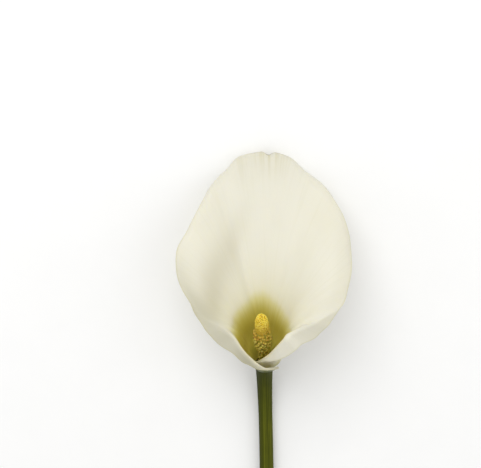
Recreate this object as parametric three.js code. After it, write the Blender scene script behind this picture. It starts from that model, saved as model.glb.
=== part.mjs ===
// A calla lily flower, cut with its stem and laid down. Millimetres, +Z up, the table at z = 0.
// The stem lies along the table towards -Y. Its neck bends up, and lifts the bloom, which faces up
// and back over the stem. The bloom is one wrapped leaf, the spathe, round a spike of tiny florets,
// the spadix. The spathe's long back runs out towards +Y, and its rolled tip rests on the table.
import * as THREE from "three";

// How the bloom is held.
const AXIS_TILT = 50; // degrees from the table up to the bloom's axis
const NODE_HEIGHT = 24.1; // of the node, where spathe, spadix and stem meet, above the table
const NECK_BEND_RADIUS = 55;
const CLEARANCE = 0.3; // between pieces that grow out of each other

// The stem.
const STEM_SIDES = 16;
const STEM_TOP_RADIUS = 6.2; // at the node
const SWELL_POWER = 0.55; // below 1 keeps the swelling close to the node
const STEM_RADIUS = 4.65; // below the neck
const STEM_FOOT_RADIUS = 5.1; // at the cut
const STEM_LENGTH = 200; // from the neck's end to the cut
const STEM_YAW = 1.8; // degrees that the stem heads to the right of -Y as it leaves the neck
const STEM_SWEEP_RADIUS = 2200; // of the slight bow that brings it back
const STEM_STEPS = 14;
const NECK_STEPS = 9;
const HEADING_STEP = 0.5; // each way along the centre line, to find its heading
const CUT_SLANT = 35; // degrees off square
const CORE_RADIUS = 3; // of the stem's core, which goes up inside the spathe and carries the spadix
const CORE_HEIGHT = 4;

// The spathe. Azimuth is measured round the bloom's axis in degrees: 0 is the middle of the long
// back, and negative is to the left, towards -X. The left margin wraps outside the right one.
const LEFT_MARGIN = -216;
const RIGHT_MARGIN = 214;
const FOOT_RADIUS = 5.6;
const WRAP_PITCH = 1.6; // how far the wrap winds outwards in one turn
const FOOT_THICKNESS = 1.2;
const RIM_THICKNESS = 0.9;
const BACK_STEP = 4; // degrees between columns across the back
const SIDE_STEP = 5; // and elsewhere, at most
const BACK_HALF_WIDTH = 36;
const WALL_ROWS = 12;
const ROLL_ROWS = 7;
const HANG_ROWS = 2;
const SPATHE_ROWS = WALL_ROWS + ROLL_ROWS + HANG_ROWS;
const SHORTEST_HANG = 0.4;

// The mouth that the blade flares towards at each azimuth: distance out from the axis, height above
// the node, and slope off the axis there.
const MOUTH = [
  [-216, 13.2, 18.9, 15],
  [-193, 13.8, 24, 15],
  [-180, 15.2, 28, 16],
  [-163, 15.6, 31.8, 16],
  [-150, 15.4, 34.2, 14],
  [-140, 16.6, 38.8, 13],
  [-125, 18.3, 46, 12],
  [-113, 20.1, 52.2, 16],
  [-102, 23.4, 55.6, 36],
  [-92, 29.6, 57.8, 66],
  [-82, 39.5, 58.8, 80],
  [-72, 49, 59.8, 82],
  [-61, 63.1, 62.6, 81],
  [-51, 74.3, 66, 80],
  [-43, 81.4, 70.2, 79],
  [-35, 90.3, 74, 78],
  [-26, 98.7, 74.7, 77],
  [-18, 109.8, 74.8, 76],
  [-10, 111.4, 76.2, 75],
  [0, 114, 77.7, 75],
  [10, 112.4, 76.8, 75],
  [18, 109.2, 75.7, 76],
  [26, 103.4, 75.3, 77],
  [35, 94, 74, 78],
  [43, 83, 70, 79],
  [52, 69.7, 65, 80],
  [65, 56.4, 61, 82],
  [78, 46.2, 61, 84],
  [84, 37.8, 59.4, 78],
  [90, 29.2, 56.9, 60],
  [96, 21.6, 54.6, 35],
  [102, 18.5, 53.2, 16],
  [113, 14.9, 51.5, 7],
  [125, 14.4, 50.3, 6],
  [135, 13.2, 46.2, 10],
  [150, 11.9, 39.9, 12],
  [163, 11, 34.2, 14],
  [180, 10.8, 30.2, 14],
  [200, 11.5, 25.8, 12],
  [214, 12, 22.6, 12],
];

// The lip at each azimuth: how much of the way to the mouth the wall has grown before it rolls over,
// the radius and turn of the roll, and how far the rim hangs on straight beyond it.
const LIP = [
  [-216, 1, 1.6, 90, 0],
  [-193, 1, 1.6, 124, 0],
  [-163, 1, 1.4, 122, 1.6],
  [-150, 1, 1.5, 120, 2.4],
  [-140, 1, 1.7, 115, 3.6],
  [-125, 1, 2, 110, 4.2],
  [-113, 1, 2.3, 104, 7.6],
  [-102, 1, 4.5, 76, 6.6],
  [-92, 1, 6.8, 38, 5],
  [-82, 1, 7, 24, 2],
  [-72, 0.987, 6, 25, 0],
  [-51, 0.958, 7, 25, 0],
  [-35, 0.906, 8, 35, 0],
  [-20, 0.918, 8, 75, 0],
  [-14, 0.946, 7.2, 115, 0],
  [-9, 0.986, 6.5, 150, 0],
  [-4, 0.988, 6, 162, 0],
  [0, 0.987, 6, 168, 0],
  [4, 0.988, 6, 162, 0],
  [9, 0.982, 6.5, 150, 0],
  [14, 0.952, 7.2, 115, 0],
  [20, 0.934, 8, 75, 0],
  [35, 0.92, 8, 35, 0],
  [52, 0.974, 7, 25, 0],
  [78, 1, 6, 22, 0],
  [84, 1, 7, 26, 3],
  [90, 1, 6.6, 48, 6],
  [96, 1, 4.8, 84, 8.4],
  [102, 1, 3.4, 110, 10],
  [113, 1, 2.4, 123, 8.7],
  [125, 1, 2, 129, 8.1],
  [135, 1, 1.8, 128, 7.4],
  [150, 1, 1.5, 128, 5.6],
  [163, 1, 1.3, 128, 4],
  [180, 1, 1.1, 126, 2.6],
  [200, 1, 0.8, 96, 0.8],
  [214, 1, 0.8, 30, 0.4],
];

// The wall at each azimuth: lean off the axis at the foot, and how strongly the wall keeps its
// direction at the foot and at the mouth.
const WALL = [
  [-216, 27, 9, 7],
  [-180, 26, 12, 10],
  [-150, 24, 14, 13],
  [-125, 23, 18, 17],
  [-113, 20, 22, 18],
  [-102, 17, 30, 16],
  [-92, 15, 38, 16],
  [-52, 15, 40, 44],
  [0, 15, 44, 72],
  [52, 15, 40, 44],
  [78, 13, 42, 26],
  [90, 12, 38, 15],
  [102, 20, 24, 17],
  [125, 32, 20, 20],
  [135, 29, 18, 17],
  [150, 24, 17, 14],
  [214, 20, 12, 10],
];
const CUSP_LENGTH = 8; // of the little point at the tip
const CUSP_HALF_WIDTH = 9; // degrees
const CUSP_POWER = 1.5; // above 1 draws the point out
const RUFFLE_DEPTH = 0.6; // of the rim's waves
const RUFFLE_WAVE = 21; // degrees from crest to crest
const RUFFLE_CALM = [12, 30]; // degrees each side of the tip over which the waves set in
const RUFFLE_END = [75, 110]; // degrees each side over which they die out towards the margins
const RUFFLE_REACH = 4; // power by which the waves fade from the rim down the wall

// The spadix: a spike that leans to the back and the left. Florets are raised on its surface in
// staggered rings, pistillate ones below and staminate ones above.
const SPADIX_HEIGHT = 55;
const SPADIX_BACK_LEAN = 6;
const SPADIX_LEFT_LEAN = 2.6;
const SPADIX_LEAN_POWER = 1.3;
const ZONE_BORDER = 39.5; // height where the pistillate florets give way to the staminate ones
const PISTILLATE = {
  low: CORE_HEIGHT + CLEARANCE,
  high: ZONE_BORDER,
  around: 12, // florets in a ring
  pitch: 5.2, // from one ring to the next but one
  depth: 0.8, // of the florets' relief
  samples: 4, // surface points to a floret, each way
};
const STAMINATE = {
  low: ZONE_BORDER + CLEARANCE,
  high: SPADIX_HEIGHT,
  around: 18,
  pitch: 2.5,
  depth: 0.45,
  samples: 2,
};

// The spadix's radius at heights above the node.
const PISTILLATE_OUTLINE = [
  [4, 3.2],
  [12, 2.9],
  [19, 3.3],
  [26, 4.7],
  [32, 5],
  [39.5, 4.4],
];
const STAMINATE_OUTLINE = [
  [39.5, 3.9],
  [41, 4.1],
  [47, 3.8],
  [51, 3.2],
  [54, 2],
  [55, 0.9],
];

const rad = THREE.MathUtils.degToRad;
const neckLength = NECK_BEND_RADIUS * rad(AXIS_TILT);
const facet = Math.cos(Math.PI / STEM_SIDES); // of the stem's radius, from its centre to a flat side
const node = new THREE.Vector3(0, 0, NODE_HEIGHT);
const axis = new THREE.Vector3(0, Math.cos(rad(AXIS_TILT)), Math.sin(rad(AXIS_TILT)));
const backward = new THREE.Vector3(0, Math.sin(rad(AXIS_TILT)), -Math.cos(rad(AXIS_TILT)));
const sideways = new THREE.Vector3(1, 0, 0);

// A smooth curve through the rows of a table, read in one column.
function along(table, x, column) {
  const last = table.length - 1;
  if (x <= table[0][0]) return table[0][column];
  if (x >= table[last][0]) return table[last][column];
  let i = 0;
  while (x > table[i + 1][0]) i += 1;
  const slope = (k) => {
    const before = table[Math.max(k - 1, 0)];
    const after = table[Math.min(k + 1, last)];
    return (after[column] - before[column]) / (after[0] - before[0]);
  };
  const width = table[i + 1][0] - table[i][0];
  const u = (x - table[i][0]) / width;
  return (
    (2 * u ** 3 - 3 * u ** 2 + 1) * table[i][column] +
    (u ** 3 - 2 * u ** 2 + u) * width * slope(i) +
    (3 * u ** 2 - 2 * u ** 3) * table[i + 1][column] +
    (u ** 3 - u ** 2) * width * slope(i + 1)
  );
}

// A point given by its distance out from the bloom's axis, its height above the node and its azimuth.
function inBloom(out, height, azimuth) {
  return node
    .clone()
    .addScaledVector(axis, height)
    .addScaledVector(backward, out * Math.cos(rad(azimuth)))
    .addScaledVector(sideways, out * Math.sin(rad(azimuth)));
}

// A closed body from rings of points that run clockwise, seen from the first ring towards the last.
// The first and last ring are each closed by a flat fan.
function loft(rings) {
  const sides = rings[0].length;
  const points = rings.flat();
  const faces = [];
  for (let r = 0; r < rings.length - 1; r += 1)
    for (let k = 0; k < sides; k += 1) {
      const a = r * sides + k;
      const b = r * sides + ((k + 1) % sides);
      faces.push(a, b + sides, b, a, a + sides, b + sides);
    }
  const middle = (ring) => ring.reduce((sum, p) => sum.add(p), new THREE.Vector3()).divideScalar(sides);
  const start = points.push(middle(rings[0])) - 1;
  const end = points.push(middle(rings.at(-1))) - 1;
  const top = (rings.length - 1) * sides;
  for (let k = 0; k < sides; k += 1) {
    faces.push(start, k, (k + 1) % sides);
    faces.push(end, top + ((k + 1) % sides), top + k);
  }
  return body(points, faces);
}

function body(points, faces) {
  const geometry = new THREE.BufferGeometry().setFromPoints(points);
  geometry.setIndex(faces);
  geometry.computeVertexNormals();
  return geometry;
}

// The spathe's meridian at one azimuth, from the foot up the wall and round the rolled lip: x is the
// distance out from the axis and y the height above the node.
function meridian(azimuth) {
  const [out, height, slope] = [1, 2, 3].map((c) => along(MOUTH, azimuth, c));
  const grown = Math.min(along(LIP, azimuth, 1), 1);
  const [lipRadius, lipTurn] = [2, 3].map((c) => along(LIP, azimuth, c));
  const hang = Math.max(along(LIP, azimuth, 4), SHORTEST_HANG);
  const [lean, footPull, mouthPull] = [1, 2, 3].map((c) => along(WALL, azimuth, c));
  const foot = new THREE.Vector2(FOOT_RADIUS, 0);
  const mouth = new THREE.Vector2(out, height);
  const towards = (angle, pull) => new THREE.Vector2(pull * Math.sin(angle), pull * Math.cos(angle));
  const wall = new THREE.CubicBezierCurve(
    foot,
    foot.clone().add(towards(rad(lean), footPull)),
    mouth.clone().sub(towards(rad(slope), mouthPull)),
    mouth,
  );
  const points = Array.from({ length: WALL_ROWS + 1 }, (_, i) => wall.getPoint((grown * i) / WALL_ROWS));
  const lipStart = points[WALL_ROWS];
  const heading = wall.getTangent(grown);
  const startSlope = Math.atan2(heading.x, heading.y);
  const rolled = (turned) =>
    new THREE.Vector2(
      lipStart.x + lipRadius * (Math.cos(startSlope) - Math.cos(turned)),
      lipStart.y + lipRadius * (Math.sin(turned) - Math.sin(startSlope)),
    );
  for (let r = 1; r <= ROLL_ROWS; r += 1) points.push(rolled(startSlope + (rad(lipTurn) * r) / ROLL_ROWS));
  const endSlope = startSlope + rad(lipTurn);
  for (let r = 1; r <= HANG_ROWS; r += 1)
    points.push(rolled(endSlope).add(towards(endSlope, (hang * r) / HANG_ROWS)));
  return points;
}

// The azimuths of the spathe's columns, closer together across the broad back.
function columnAzimuths() {
  const evenly = (from, to, step) => {
    const count = Math.ceil((to - from) / step);
    return Array.from({ length: count }, (_, i) => from + ((to - from) * i) / count);
  };
  return [
    ...evenly(LEFT_MARGIN, -BACK_HALF_WIDTH, SIDE_STEP),
    ...evenly(-BACK_HALF_WIDTH, BACK_HALF_WIDTH, BACK_STEP),
    ...evenly(BACK_HALF_WIDTH, RIGHT_MARGIN, SIDE_STEP),
    RIGHT_MARGIN,
  ];
}

// The middle of the spathe's thickness, as one column of points for each azimuth.
function spatheMiddle(azimuths) {
  return azimuths.map((azimuth) => {
    const wound = (-WRAP_PITCH * azimuth) / 360;
    const points = meridian(azimuth).map((p) => inBloom(p.x + wound, p.y, azimuth));
    const nearness = Math.max(0, 1 - Math.abs(azimuth) / CUSP_HALF_WIDTH);
    const heading = points[SPATHE_ROWS].clone().sub(points[SPATHE_ROWS - 1]).normalize();
    points[SPATHE_ROWS].addScaledVector(heading, CUSP_LENGTH * nearness ** CUSP_POWER);
    return points;
  });
}

// How far the rim's waves lift the blade at a point, most at the rim and none near the tip.
function ruffle(azimuth, row) {
  const toRim = (row / SPATHE_ROWS) ** RUFFLE_REACH;
  const setIn = THREE.MathUtils.smoothstep(Math.abs(azimuth), ...RUFFLE_CALM);
  const diedOut = THREE.MathUtils.smoothstep(Math.abs(azimuth), ...RUFFLE_END);
  const wave = Math.sin((2 * Math.PI * azimuth) / RUFFLE_WAVE);
  return RUFFLE_DEPTH * toRim * setIn * (1 - diedOut) * wave;
}

// The spathe: two like faces a thickness apart, joined along the foot, the rim and both margins.
function makeSpathe() {
  const azimuths = columnAzimuths();
  const middle = spatheMiddle(azimuths);
  const columns = middle.length;
  const rows = middle[0].length;
  const faceOffset = (i, j, side) => {
    const across = middle[Math.min(i + 1, columns - 1)][j].clone().sub(middle[Math.max(i - 1, 0)][j]);
    const up = middle[i][Math.min(j + 1, rows - 1)].clone().sub(middle[i][Math.max(j - 1, 0)]);
    const normal = j === 0 ? across.cross(axis).normalize() : across.cross(up).normalize();
    const half = THREE.MathUtils.lerp(FOOT_THICKNESS, RIM_THICKNESS, j / (rows - 1)) / 2;
    return normal.multiplyScalar(side * half - ruffle(azimuths[i], j));
  };
  const points = [];
  for (const side of [1, -1])
    for (let i = 0; i < columns; i += 1)
      for (let j = 0; j < rows; j += 1) {
        const p = middle[i][j].clone().add(faceOffset(i, j, side));
        p.z = Math.max(p.z, 0);
        points.push(p);
      }
  const at = (side, i, j) => side * columns * rows + i * rows + j;
  const faces = [];
  const quad = (a, b, c, d) => faces.push(a, b, c, a, c, d);
  for (let i = 0; i < columns - 1; i += 1)
    for (let j = 0; j < rows - 1; j += 1) {
      quad(at(0, i, j), at(0, i + 1, j), at(0, i + 1, j + 1), at(0, i, j + 1));
      faces.push(at(1, i, j), at(1, i + 1, j + 1), at(1, i + 1, j));
      faces.push(at(1, i, j), at(1, i, j + 1), at(1, i + 1, j + 1));
    }
  for (let i = 0; i < columns - 1; i += 1) {
    quad(at(0, i, 0), at(1, i, 0), at(1, i + 1, 0), at(0, i + 1, 0));
    quad(at(0, i, rows - 1), at(0, i + 1, rows - 1), at(1, i + 1, rows - 1), at(1, i, rows - 1));
  }
  for (let j = 0; j < rows - 1; j += 1) {
    quad(at(0, 0, j), at(0, 0, j + 1), at(1, 0, j + 1), at(1, 0, j));
    const k = columns - 1;
    quad(at(0, k, j), at(1, k, j), at(1, k, j + 1), at(0, k, j + 1));
  }
  return body(points, faces);
}

// One zone of the spadix: a turned outline with florets raised in staggered rings.
function makeSpadixZone(zone, outline) {
  const columns = zone.around * zone.samples;
  const rows = Math.round(((zone.high - zone.low) * zone.samples) / zone.pitch);
  const rings = [];
  for (let j = 0; j <= rows; j += 1) {
    const height = zone.low + ((zone.high - zone.low) * j) / rows;
    const leaned = height / SPADIX_HEIGHT;
    const centre = node
      .clone()
      .addScaledVector(axis, height)
      .addScaledVector(backward, SPADIX_BACK_LEAN * leaned ** SPADIX_LEAN_POWER)
      .addScaledVector(sideways, -SPADIX_LEFT_LEAN * leaned);
    const ring = [];
    for (let k = 0; k < columns; k += 1) {
      const turn = (2 * Math.PI * k) / columns;
      const aroundWave = Math.cos((2 * Math.PI * k) / zone.samples);
      const upWave = Math.cos((2 * Math.PI * j) / zone.samples);
      const raised = zone.depth * Math.abs((aroundWave + upWave) / 2);
      const radius = along(outline, height, 1) + (j === 0 || j === rows ? 0 : raised);
      ring.push(
        centre
          .clone()
          .addScaledVector(backward, radius * Math.cos(turn))
          .addScaledVector(sideways, radius * Math.sin(turn)),
      );
    }
    rings.push(ring);
  }
  return loft(rings);
}

// The stem's centre line: the distance is measured from the node, up the neck's arc first.
function stemCentre(distance) {
  const turnedTo = rad(AXIS_TILT) * (1 - Math.min(distance / neckLength, 1));
  const neckY = NECK_BEND_RADIUS * (Math.sin(turnedTo) - Math.sin(rad(AXIS_TILT)));
  const beyond = Math.max(distance - neckLength, 0);
  const sweep = distance * Math.tan(rad(STEM_YAW)) - beyond ** 2 / (2 * STEM_SWEEP_RADIUS);
  const lying = stemRadius(beyond) * facet;
  const risen = (1 - Math.cos(turnedTo)) / (1 - Math.cos(rad(AXIS_TILT)));
  return new THREE.Vector3(sweep, neckY - beyond, lying + risen * (NODE_HEIGHT - STEM_RADIUS * facet));
}

function stemRadius(beyondNeck) {
  return THREE.MathUtils.lerp(STEM_RADIUS, STEM_FOOT_RADIUS, beyondNeck / STEM_LENGTH);
}

function stemRing(centre, heading, radius, slant) {
  const side = new THREE.Vector3().crossVectors(heading, new THREE.Vector3(0, 0, 1)).normalize();
  const up = new THREE.Vector3().crossVectors(side, heading);
  return Array.from({ length: STEM_SIDES }, (_, k) => {
    const turn = (2 * Math.PI * (k + 0.5)) / STEM_SIDES;
    return centre
      .clone()
      .addScaledVector(side, radius * Math.cos(turn))
      .addScaledVector(up, radius * Math.sin(turn))
      .addScaledVector(heading, slant * radius * Math.sin(turn));
  });
}

// The stem, from the cut along the table, up the neck, to the shoulder and the core at the node.
function makeStem() {
  const rings = [];
  for (let i = 0; i < STEM_STEPS + NECK_STEPS; i += 1) {
    const onTable = i < STEM_STEPS;
    const distance = onTable
      ? neckLength + STEM_LENGTH * (1 - i / STEM_STEPS)
      : neckLength * (1 - (i - STEM_STEPS) / NECK_STEPS);
    const heading = stemCentre(distance - HEADING_STEP).sub(stemCentre(distance + HEADING_STEP));
    if (onTable) heading.setZ(0);
    heading.normalize();
    const radius = onTable
      ? stemRadius(distance - neckLength)
      : THREE.MathUtils.lerp(STEM_TOP_RADIUS, STEM_RADIUS, (distance / neckLength) ** SWELL_POWER);
    rings.push(stemRing(stemCentre(distance), heading, radius, i === 0 ? Math.tan(rad(CUT_SLANT)) : 0));
  }
  const shoulder = inBloom(0, -CLEARANCE, 0);
  rings.push(stemRing(shoulder, axis, STEM_TOP_RADIUS, 0));
  rings.push(stemRing(shoulder, axis, CORE_RADIUS, 0));
  rings.push(stemRing(inBloom(0, CORE_HEIGHT, 0), axis, CORE_RADIUS, 0));
  return loft(rings);
}

function piece(name, geometry, colour, roughness) {
  const material = new THREE.MeshStandardMaterial({ color: colour, roughness, metalness: 0 });
  const mesh = new THREE.Mesh(geometry, material);
  mesh.name = name;
  return mesh;
}

const flower = new THREE.Group();
flower.add(piece("stem", makeStem(), 0x47591b, 0.55));
flower.add(piece("spathe", makeSpathe(), 0xefecdd, 0.5));
flower.add(piece("spadix_pistillate", makeSpadixZone(PISTILLATE, PISTILLATE_OUTLINE), 0x9c9435, 0.6));
flower.add(piece("spadix_staminate", makeSpadixZone(STAMINATE, STAMINATE_OUTLINE), 0xe3b42c, 0.75));

// The origin is on the table, under the middle of the flower.
const middle = new THREE.Box3().setFromObject(flower).getCenter(new THREE.Vector3());
flower.position.set(-middle.x, -middle.y, 0);

export default flower;
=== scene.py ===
# %% [markdown]
# # A cut calla lily, dressed for its picture
# The CAD model gives the flower's measured shape as four solids: the stem, the wrapped white leaf
# called the spathe, and the two zones of the yellow spike, the spadix. They are right in size but
# coarse, with flat facets. This lesson keeps that frame and grows a finer flower in the same place:
# the same curves with many more points, real florets, a rounded rim, veins, and living colours.

# %% Load the frame
import math
import bpy
import numpy as np
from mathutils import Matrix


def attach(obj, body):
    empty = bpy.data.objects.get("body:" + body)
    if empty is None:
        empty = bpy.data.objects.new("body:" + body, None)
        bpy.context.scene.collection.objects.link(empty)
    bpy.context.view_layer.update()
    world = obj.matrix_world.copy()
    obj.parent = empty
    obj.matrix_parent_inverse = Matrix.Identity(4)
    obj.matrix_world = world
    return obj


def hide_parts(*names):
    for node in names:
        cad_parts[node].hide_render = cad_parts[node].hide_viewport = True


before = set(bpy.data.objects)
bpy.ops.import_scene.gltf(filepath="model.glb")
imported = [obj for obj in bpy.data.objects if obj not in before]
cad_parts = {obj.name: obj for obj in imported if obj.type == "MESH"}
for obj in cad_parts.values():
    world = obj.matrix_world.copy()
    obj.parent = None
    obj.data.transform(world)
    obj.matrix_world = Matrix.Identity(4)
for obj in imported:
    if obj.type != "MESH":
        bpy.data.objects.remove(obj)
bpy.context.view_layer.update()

# %% [markdown]
# ## Where the bloom stands
# Everything in a calla starts at the node, where the stem ends and the spathe and spadix begin. The
# bloom's axis leaves it at 50 degrees above the table. The node could be typed in as a number, but
# it is safer to measure it: the stem's core is a short peg that ends 4 mm above the node, so the
# middle of its end face, less 4 mm, is the node. Lengths below are millimetres, as a florist
# would measure them, and become metres only when a mesh is made.

# %% Find the node
MM = 0.001
AXIS_TILT = math.radians(50)
CORE_HEIGHT = 4
AXIS = np.array([0, math.cos(AXIS_TILT), math.sin(AXIS_TILT)])
BACKWARD = np.array([0, math.sin(AXIS_TILT), -math.cos(AXIS_TILT)])
SIDEWAYS = np.array([1.0, 0, 0])
UP = np.array([0, 0, 1.0])

stem_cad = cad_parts["stem"]
stem_points = np.array([v.co[:] for v in stem_cad.data.vertices]) / MM
reach = stem_points @ AXIS
core_end = stem_points[reach > reach.max() - 0.05]
NODE = core_end.mean(axis=0) - CORE_HEIGHT * AXIS
print("node at", NODE.round(2), "mm, from", len(core_end), "points of the core's end")

# %% [markdown]
# ## Smooth curves through a few measurements
# A spathe has no flat and no straight part, so no drawing primitive fits it. The wrapped leaf can
# be described all the same: at each azimuth, the direction round the axis, a few numbers say how
# wide its mouth is, how high, and how far the lip rolls over. Azimuth 0 is the middle of the long
# back, and the two margins lie at -216 and +214 degrees, so the leaf overlaps itself in front.
# A cubic curve through each column of the table gives a smooth change from one row to the next.

# %% Read a table along a smooth curve
def along(table, x):
    table = np.asarray(table, float)
    at, value = table[:, 0], table[:, 1:]
    rows = np.arange(len(at))
    before, after = np.maximum(rows - 1, 0), np.minimum(rows + 1, len(at) - 1)
    slope = (value[after] - value[before]) / (at[after] - at[before])[:, None]
    i = np.clip(np.searchsorted(at, x, side="right") - 1, 0, len(at) - 2)
    width = (at[i + 1] - at[i])[:, None]
    u = np.clip((x - at[i])[:, None] / width, 0, 1)
    return (
        (2 * u**3 - 3 * u**2 + 1) * value[i]
        + (u**3 - 2 * u**2 + u) * width * slope[i]
        + (3 * u**2 - 2 * u**3) * value[i + 1]
        + (u**3 - u**2) * width * slope[i + 1]
    )


def smooth_step(x, low, high):
    u = np.clip((x - low) / (high - low), 0, 1)
    return u * u * (3 - 2 * u)


# %% [markdown]
# ## The spathe's measurements
# The mouth table holds, for each azimuth, the distance out from the axis, the height above the node
# and the slope off the axis. The lip table says how much of that way is grown before the roll
# starts, the roll's radius and turn, and how far the rim hangs on beyond it. The wall table says
# how the tube leaves the foot and how stiffly it keeps its direction at either end.

# %% Measurements of the spathe
LEFT_MARGIN, RIGHT_MARGIN = -216, 214
MOUTH = [
    [-216, 13.2, 18.3, 15], [-193, 13.8, 22.2, 15], [-180, 15.2, 25.8, 16], [-163, 15.6, 31.2, 16],
    [-150, 15.4, 34.2, 14], [-140, 16.6, 38.8, 13], [-125, 18.3, 46, 12], [-113, 20.1, 52.2, 16],
    [-102, 23.4, 55.6, 36], [-92, 29.6, 57.8, 66], [-82, 39.5, 58.8, 80], [-72, 49, 59.8, 82],
    [-61, 63.1, 62.6, 81], [-51, 74.1, 66, 80], [-43, 81.7, 70.2, 79], [-35, 90.8, 74, 78],
    [-26, 99.2, 74.7, 77], [-18, 109.7, 74.8, 76], [-10, 110.6, 76.2, 75], [0, 114, 77.7, 75],
    [10, 111, 76.8, 75], [18, 108.7, 75.7, 76], [26, 103.3, 75.3, 77], [35, 94, 74, 78],
    [43, 83, 70, 79], [52, 69.7, 65, 80], [65, 56.4, 61, 82], [78, 46.2, 61, 84],
    [84, 37.8, 59.4, 78], [90, 29.2, 56.9, 60], [96, 21.6, 54.6, 35], [102, 18.5, 53.2, 16],
    [113, 14.9, 51.5, 7], [125, 14.4, 50.3, 6], [135, 13.2, 46.2, 10], [150, 11.9, 39.9, 12],
    [163, 11, 33.8, 14], [180, 10.8, 28.9, 14], [200, 11.5, 23.8, 12], [214, 12, 20.8, 12],
]
LIP = [
    [-216, 1, 1.1, 90, 0], [-193, 1, 0.9, 100, 0], [-180, 1, 0.9, 102, 0.4],
    [-163, 1, 1.1, 122, 1.9], [-150, 1, 1.1, 120, 2.9], [-140, 1, 1.2, 115, 4.2],
    [-125, 1, 1.4, 112, 5], [-113, 1, 1.8, 104, 8.2], [-102, 1, 4.5, 76, 6.6],
    [-92, 1, 6.8, 38, 5], [-82, 1, 7, 24, 2], [-72, 0.987, 6, 25, 0],
    [-51, 0.958, 7, 25, 0], [-35, 0.906, 8, 35, 0], [-20, 0.918, 8, 75, 0],
    [-14, 0.946, 7.2, 115, 0], [-9, 0.986, 6.5, 150, 0], [-4, 0.988, 6, 162, 0],
    [0, 0.987, 6, 168, 0], [4, 0.988, 6, 162, 0], [9, 0.982, 6.5, 150, 0],
    [14, 0.952, 7.2, 115, 0], [20, 0.934, 8, 75, 0], [35, 0.92, 8, 35, 0],
    [52, 0.974, 7, 25, 0], [78, 1, 6, 22, 0], [84, 1, 7, 26, 3], [90, 1, 6.6, 48, 6],
    [96, 1, 4.8, 84, 8.4], [102, 1, 3.4, 110, 10], [113, 1, 2.4, 123, 8.7],
    [125, 1, 2, 129, 8.1], [135, 1, 1.8, 128, 7.4], [150, 1, 1.5, 128, 5.6],
    [163, 1, 1.3, 128, 3.3], [180, 1, 1.1, 124, 1.2], [200, 1, 0.8, 96, 0.5],
    [214, 1, 0.8, 30, 0.4],
]
WALL = [
    [-216, 27, 9, 7], [-180, 26, 12, 10], [-150, 24, 14, 13], [-125, 23, 18, 17],
    [-113, 20, 22, 18], [-102, 17, 30, 16], [-92, 15, 38, 16], [-52, 15, 40, 44],
    [0, 15, 44, 72], [52, 15, 40, 44], [78, 13, 42, 26], [90, 12, 38, 15], [102, 20, 24, 17],
    [125, 32, 20, 20], [135, 29, 18, 17], [150, 24, 17, 14], [214, 20, 12, 10],
]
print(len(MOUTH), "mouth rows,", len(LIP), "lip rows,", len(WALL), "wall rows")

# %% [markdown]
# ## Columns and rows
# A vein stands out by less than a tenth of a millimetre, and the broad back is over 100 mm across,
# so the mesh needs columns closer than a millimetre there. The tube is narrow, and wider steps
# do. Close to the rim and to both margins the columns and rows crowd together, which leaves
# points enough to round off the edge: a cut-off square edge is what betrays a paper flower.

# %% Spread the columns and rows
def spread(*runs):
    parts = [np.linspace(start, end, count, endpoint=False) for start, end, count in runs]
    return np.concatenate(parts + [[runs[-1][1]]])


azimuth = spread(
    (LEFT_MARGIN, LEFT_MARGIN + 2, 5), (LEFT_MARGIN + 2, -120, 62), (-120, -76, 44),
    (-76, -6, 120), (-6, 8, 50), (8, 76, 116), (76, 120, 44), (120, RIGHT_MARGIN - 2, 52),
    (RIGHT_MARGIN - 2, RIGHT_MARGIN, 5),
)
wall_steps = spread((0, 1, 52))
roll_steps = spread((0, 1, 20))[1:]
hang_steps = np.array([0.25, 0.5, 0.72])
EDGE_STEPS = np.array([0.45, 0.32, 0.18, 0.07, 0.0])  # mm short of the rim
EDGE_SHARES = np.array([0.95, 0.7, 0.4, 0.15, 0.0])  # the most they may take of a short hang
row_count = len(wall_steps) + len(roll_steps) + len(hang_steps) + len(EDGE_STEPS)
print(len(azimuth), "columns of", row_count, "points")


# %% [markdown]
# ## The middle of the leaf
# Each column is a meridian: a Bezier curve up the wall, an arc of the lip's radius, and a short
# straight hang. The wrap winds outwards a little with azimuth, so that the left margin lies
# outside the right one. Beside the points, the function keeps how far along its column each one
# is, since colour and veins follow the same way from foot to rim.

# %% The point and the notch at the tip
CUSP_LENGTH, CUSP_HALF_WIDTH, CUSP_POWER = 8, 9, 1.5
NOTCH_AZIMUTH, NOTCH_HALF_WIDTH, NOTCH_DEPTH = 1.4, 1.9, 0.012  # depth as a share of the wall


def cusp(az):
    nearness = np.maximum(0, 1 - np.abs(az) / CUSP_HALF_WIDTH)
    return CUSP_LENGTH * nearness**CUSP_POWER


def notch(az):
    return np.maximum(0, 1 - np.abs(az - NOTCH_AZIMUTH) / NOTCH_HALF_WIDTH)


# %% The curve up the wall
def bezier(t, foot, lower, upper, mouth):
    return (
        (1 - t)**3 * foot + 3 * (1 - t)**2 * t * lower
        + 3 * (1 - t) * t**2 * upper + t**3 * mouth
    )


def bezier_heading(t, foot, lower, upper, mouth):
    return (
        (1 - t)**2 * (lower - foot) + 2 * (1 - t) * t * (upper - lower)
        + t**2 * (mouth - upper)
    )


# %% The profile of each column
FOOT_RADIUS = 5.6
SHORTEST_HANG = 0.4
WALL_SHARE, ROLL_SHARE, HANG_SHARE = 12, 7, 2  # parts of a column's way from foot to rim


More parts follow.
